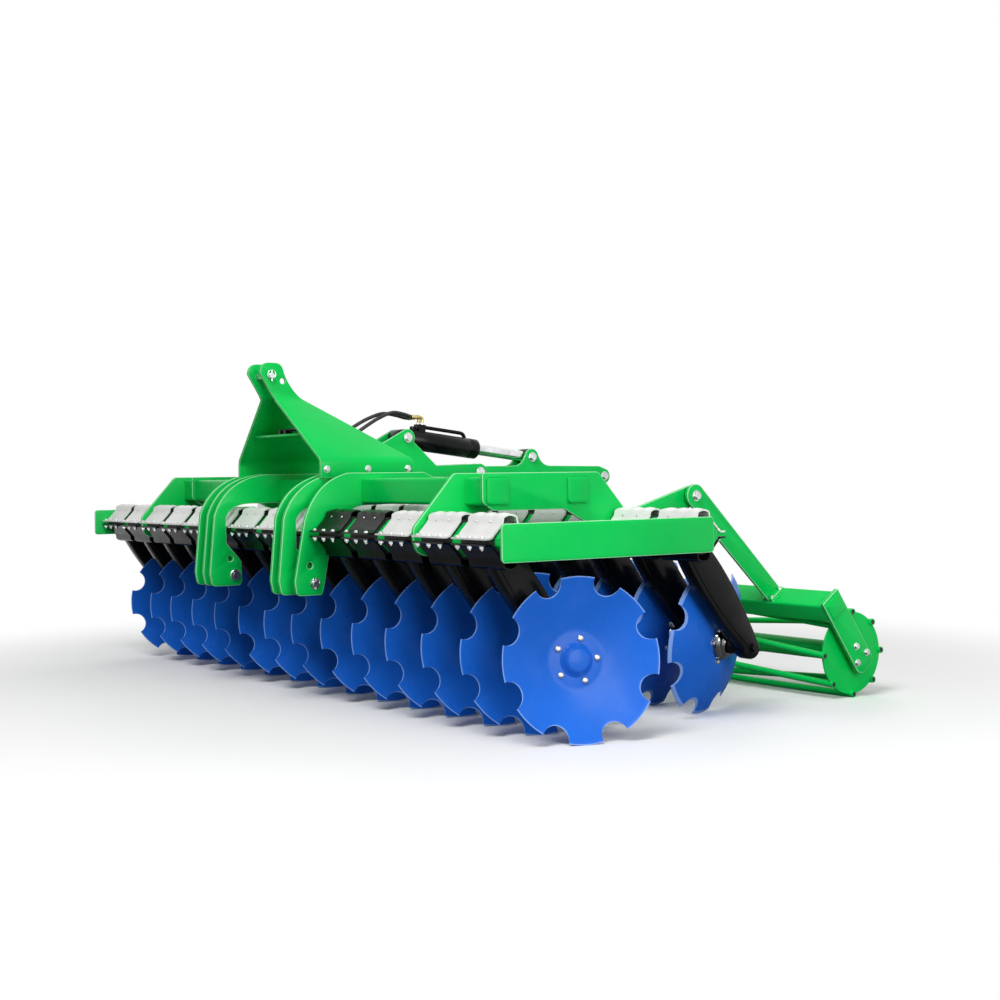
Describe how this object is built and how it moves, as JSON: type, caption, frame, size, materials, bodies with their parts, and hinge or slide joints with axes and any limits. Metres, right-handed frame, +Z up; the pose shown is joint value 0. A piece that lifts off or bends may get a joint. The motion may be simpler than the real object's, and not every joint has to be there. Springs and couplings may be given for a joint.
{
  "type": "disc harrow",
  "caption": "Mounted compact disc harrow with two rows of notched discs on single arms, a three-point headstock and a cylinder-set cage roller.",
  "frame": {"origin": "on the ground under the middle of the bounding box", "axes": "+Z up, +X towards the machine's left seen from the tractor's seat, +Y to the rear, away from the tractor"},
  "size_m": [3.6276, 2.073, 1.375],
  "materials": {
    "green_paint": "gloss",
    "disc_paint": "gloss",
    "black_paint": "gloss",
    "zinc": "zinc plated",
    "chrome": "polished",
    "hose_rubber": "matt"
  },
  "bodies": {
    "frame": {"front_gang": "black_paint", "rear_gang": "black_paint", "front_cross_tube": "green_paint", "rear_cross_tube": "green_paint", "rear_carrier_left": "green_paint", "front_carrier_left": "green_paint", "rear_carrier_right": "green_paint", "front_carrier_right": "green_paint", "outer_hitch_plate_left": "green_paint", "outer_hitch_plate_right": "green_paint", "hitch_fork_left": "green_paint", "hitch_fork_right": "green_paint", "headstock_panel_left": "green_paint", "headstock_panel_right": "green_paint", "headstock_bar": "green_paint", "top_link_pin": "zinc", "centre_bracket": "green_paint", "cylinder_hose_left": "hose_rubber", "cylinder_hose_right": "hose_rubber", "guard_left": "green_paint", "guard_right": "green_paint"},
    "roller_frame": {"roller_arm_left": "green_paint", "roller_arm_right": "green_paint", "roller_beam": "green_paint", "roller_end_plate_left": "green_paint", "roller_end_plate_right": "green_paint"},
    "cage": {"cage_roller": "green_paint"},
    "rocker": {"depth_rocker": "green_paint"},
    "strut": {"depth_strut": "green_paint"},
    "barrel": {"cylinder_barrel": "black_paint"},
    "rod": {"cylinder_rod": "chrome"},
    "front_disc_01_body": {"front_disc_01": "disc_paint"},
    "front_disc_02_body": {"front_disc_02": "disc_paint"},
    "front_disc_03_body": {"front_disc_03": "disc_paint"},
    "front_disc_04_body": {"front_disc_04": "disc_paint"},
    "front_disc_05_body": {"front_disc_05": "disc_paint"},
    "front_disc_06_body": {"front_disc_06": "disc_paint"},
    "front_disc_07_body": {"front_disc_07": "disc_paint"},
    "front_disc_08_body": {"front_disc_08": "disc_paint"},
    "front_disc_09_body": {"front_disc_09": "disc_paint"},
    "front_disc_10_body": {"front_disc_10": "disc_paint"},
    "front_disc_11_body": {"front_disc_11": "disc_paint"},
    "front_disc_12_body": {"front_disc_12": "disc_paint"},
    "front_disc_13_body": {"front_disc_13": "disc_paint"},
    "front_disc_14_body": {"front_disc_14": "disc_paint"},
    "rear_disc_01_body": {"rear_disc_01": "disc_paint"},
    "rear_disc_02_body": {"rear_disc_02": "disc_paint"},
    "rear_disc_03_body": {"rear_disc_03": "disc_paint"},
    "rear_disc_04_body": {"rear_disc_04": "disc_paint"},
    "rear_disc_05_body": {"rear_disc_05": "disc_paint"},
    "rear_disc_06_body": {"rear_disc_06": "disc_paint"},
    "rear_disc_07_body": {"rear_disc_07": "disc_paint"},
    "rear_disc_08_body": {"rear_disc_08": "disc_paint"},
    "rear_disc_09_body": {"rear_disc_09": "disc_paint"},
    "rear_disc_10_body": {"rear_disc_10": "disc_paint"},
    "rear_disc_11_body": {"rear_disc_11": "disc_paint"},
    "rear_disc_12_body": {"rear_disc_12": "disc_paint"},
    "rear_disc_13_body": {"rear_disc_13": "disc_paint"},
    "rear_disc_14_body": {"rear_disc_14": "disc_paint"}
  },
  "joints": [
    {"name": "front_disc_01_spin", "type": "hinge", "parent": "frame", "child": "front_disc_01_body", "pos_m": [1.6625, -0.5845, 0.27097], "axis": [-0.944, 0.3067, -0.1219], "continuous": true},
    {"name": "front_disc_02_spin", "type": "hinge", "parent": "frame", "child": "front_disc_02_body", "pos_m": [1.4125, -0.5845, 0.27097], "axis": [-0.944, 0.3067, -0.1219], "continuous": true},
    {"name": "front_disc_03_spin", "type": "hinge", "parent": "frame", "child": "front_disc_03_body", "pos_m": [1.1625, -0.5845, 0.27097], "axis": [-0.944, 0.3067, -0.1219], "continuous": true},
    {"name": "front_disc_04_spin", "type": "hinge", "parent": "frame", "child": "front_disc_04_body", "pos_m": [0.9125, -0.5845, 0.27097], "axis": [-0.944, 0.3067, -0.1219], "continuous": true},
    {"name": "front_disc_05_spin", "type": "hinge", "parent": "frame", "child": "front_disc_05_body", "pos_m": [0.6625, -0.5845, 0.27097], "axis": [-0.944, 0.3067, -0.1219], "continuous": true},
    {"name": "front_disc_06_spin", "type": "hinge", "parent": "frame", "child": "front_disc_06_body", "pos_m": [0.4125, -0.5845, 0.27097], "axis": [-0.944, 0.3067, -0.1219], "continuous": true},
    {"name": "front_disc_07_spin", "type": "hinge", "parent": "frame", "child": "front_disc_07_body", "pos_m": [0.1625, -0.5845, 0.27097], "axis": [-0.944, 0.3067, -0.1219], "continuous": true},
    {"name": "front_disc_08_spin", "type": "hinge", "parent": "frame", "child": "front_disc_08_body", "pos_m": [-0.0875, -0.5845, 0.27097], "axis": [-0.944, 0.3067, -0.1219], "continuous": true},
    {"name": "front_disc_09_spin", "type": "hinge", "parent": "frame", "child": "front_disc_09_body", "pos_m": [-0.3375, -0.5845, 0.27097], "axis": [-0.944, 0.3067, -0.1219], "continuous": true},
    {"name": "front_disc_10_spin", "type": "hinge", "parent": "frame", "child": "front_disc_10_body", "pos_m": [-0.5875, -0.5845, 0.27097], "axis": [-0.944, 0.3067, -0.1219], "continuous": true},
    {"name": "front_disc_11_spin", "type": "hinge", "parent": "frame", "child": "front_disc_11_body", "pos_m": [-0.8375, -0.5845, 0.27097], "axis": [-0.944, 0.3067, -0.1219], "continuous": true},
    {"name": "front_disc_12_spin", "type": "hinge", "parent": "frame", "child": "front_disc_12_body", "pos_m": [-1.0875, -0.5845, 0.27097], "axis": [-0.944, 0.3067, -0.1219], "continuous": true},
    {"name": "front_disc_13_spin", "type": "hinge", "parent": "frame", "child": "front_disc_13_body", "pos_m": [-1.3375, -0.5845, 0.27097], "axis": [-0.944, 0.3067, -0.1219], "continuous": true},
    {"name": "front_disc_14_spin", "type": "hinge", "parent": "frame", "child": "front_disc_14_body", "pos_m": [-1.5875, -0.5845, 0.27097], "axis": [-0.944, 0.3067, -0.1219], "continuous": true},
    {"name": "rear_disc_01_spin", "type": "hinge", "parent": "frame", "child": "rear_disc_01_body", "pos_m": [1.5875, 0.1555, 0.27097], "axis": [0.944, 0.3067, -0.1219], "continuous": true},
    {"name": "rear_disc_02_spin", "type": "hinge", "parent": "frame", "child": "rear_disc_02_body", "pos_m": [1.3375, 0.1555, 0.27097], "axis": [0.944, 0.3067, -0.1219], "continuous": true},
    {"name": "rear_disc_03_spin", "type": "hinge", "parent": "frame", "child": "rear_disc_03_body", "pos_m": [1.0875, 0.1555, 0.27097], "axis": [0.944, 0.3067, -0.1219], "continuous": true},
    {"name": "rear_disc_04_spin", "type": "hinge", "parent": "frame", "child": "rear_disc_04_body", "pos_m": [0.8375, 0.1555, 0.27097], "axis": [0.944, 0.3067, -0.1219], "continuous": true},
    {"name": "rear_disc_05_spin", "type": "hinge", "parent": "frame", "child": "rear_disc_05_body", "pos_m": [0.5875, 0.1555, 0.27097], "axis": [0.944, 0.3067, -0.1219], "continuous": true},
    {"name": "rear_disc_06_spin", "type": "hinge", "parent": "frame", "child": "rear_disc_06_body", "pos_m": [0.3375, 0.1555, 0.27097], "axis": [0.944, 0.3067, -0.1219], "continuous": true},
    {"name": "rear_disc_07_spin", "type": "hinge", "parent": "frame", "child": "rear_disc_07_body", "pos_m": [0.0875, 0.1555, 0.27097], "axis": [0.944, 0.3067, -0.1219], "continuous": true},
    {"name": "rear_disc_08_spin", "type": "hinge", "parent": "frame", "child": "rear_disc_08_body", "pos_m": [-0.1625, 0.1555, 0.27097], "axis": [0.944, 0.3067, -0.1219], "continuous": true},
    {"name": "rear_disc_09_spin", "type": "hinge", "parent": "frame", "child": "rear_disc_09_body", "pos_m": [-0.4125, 0.1555, 0.27097], "axis": [0.944, 0.3067, -0.1219], "continuous": true},
    {"name": "rear_disc_10_spin", "type": "hinge", "parent": "frame", "child": "rear_disc_10_body", "pos_m": [-0.6625, 0.1555, 0.27097], "axis": [0.944, 0.3067, -0.1219], "continuous": true},
    {"name": "rear_disc_11_spin", "type": "hinge", "parent": "frame", "child": "rear_disc_11_body", "pos_m": [-0.9125, 0.1555, 0.27097], "axis": [0.944, 0.3067, -0.1219], "continuous": true},
    {"name": "rear_disc_12_spin", "type": "hinge", "parent": "frame", "child": "rear_disc_12_body", "pos_m": [-1.1625, 0.1555, 0.27097], "axis": [0.944, 0.3067, -0.1219], "continuous": true},
    {"name": "rear_disc_13_spin", "type": "hinge", "parent": "frame", "child": "rear_disc_13_body", "pos_m": [-1.4125, 0.1555, 0.27097], "axis": [0.944, 0.3067, -0.1219], "continuous": true},
    {"name": "rear_disc_14_spin", "type": "hinge", "parent": "frame", "child": "rear_disc_14_body", "pos_m": [-1.6625, 0.1555, 0.27097], "axis": [0.944, 0.3067, -0.1219], "continuous": true},
    {"name": "roller_depth", "type": "hinge", "parent": "frame", "child": "roller_frame", "pos_m": [0, 0.2755, 0.809], "axis": [1, 0, 0], "range_deg": [-6, 12]},
    {"name": "roller_spin", "type": "hinge", "parent": "roller_frame", "child": "cage", "pos_m": [0, 0.8605, 0.176], "axis": [1, 0, 0], "continuous": true},
    {"name": "rocker_pivot", "type": "hinge", "parent": "frame", "child": "rocker", "pos_m": [0, 0.1295, 0.915], "axis": [1, 0, 0], "range_deg": [-4.8, 9.4]},
    {"name": "strut_pivot", "type": "hinge", "parent": "roller_frame", "child": "strut", "pos_m": [0, 0.7455, 0.475], "axis": [1, 0, 0], "range_deg": [-3.3, 1.8]},
    {"name": "barrel_pivot", "type": "hinge", "parent": "frame", "child": "barrel", "pos_m": [0, -0.2525, 1.068], "axis": [1, 0, 0], "range_deg": [-2.2, 4.2]},
    {"name": "rod_slide", "type": "slide", "parent": "barrel", "child": "rod", "axis": [0, 0.9923, -0.124], "range_m": [-0.0185, 0.0095]}
  ],
  "couplings": [
    {"joint": "rocker_pivot", "follows": "roller_depth", "ratio": 0.766},
    {"joint": "strut_pivot", "follows": "roller_depth", "ratio": -0.2551},
    {"joint": "barrel_pivot", "follows": "roller_depth", "ratio": 0.3254},
    {"joint": "rod_slide", "follows": "roller_depth", "m_per_rad": -0.08565}
  ]
}
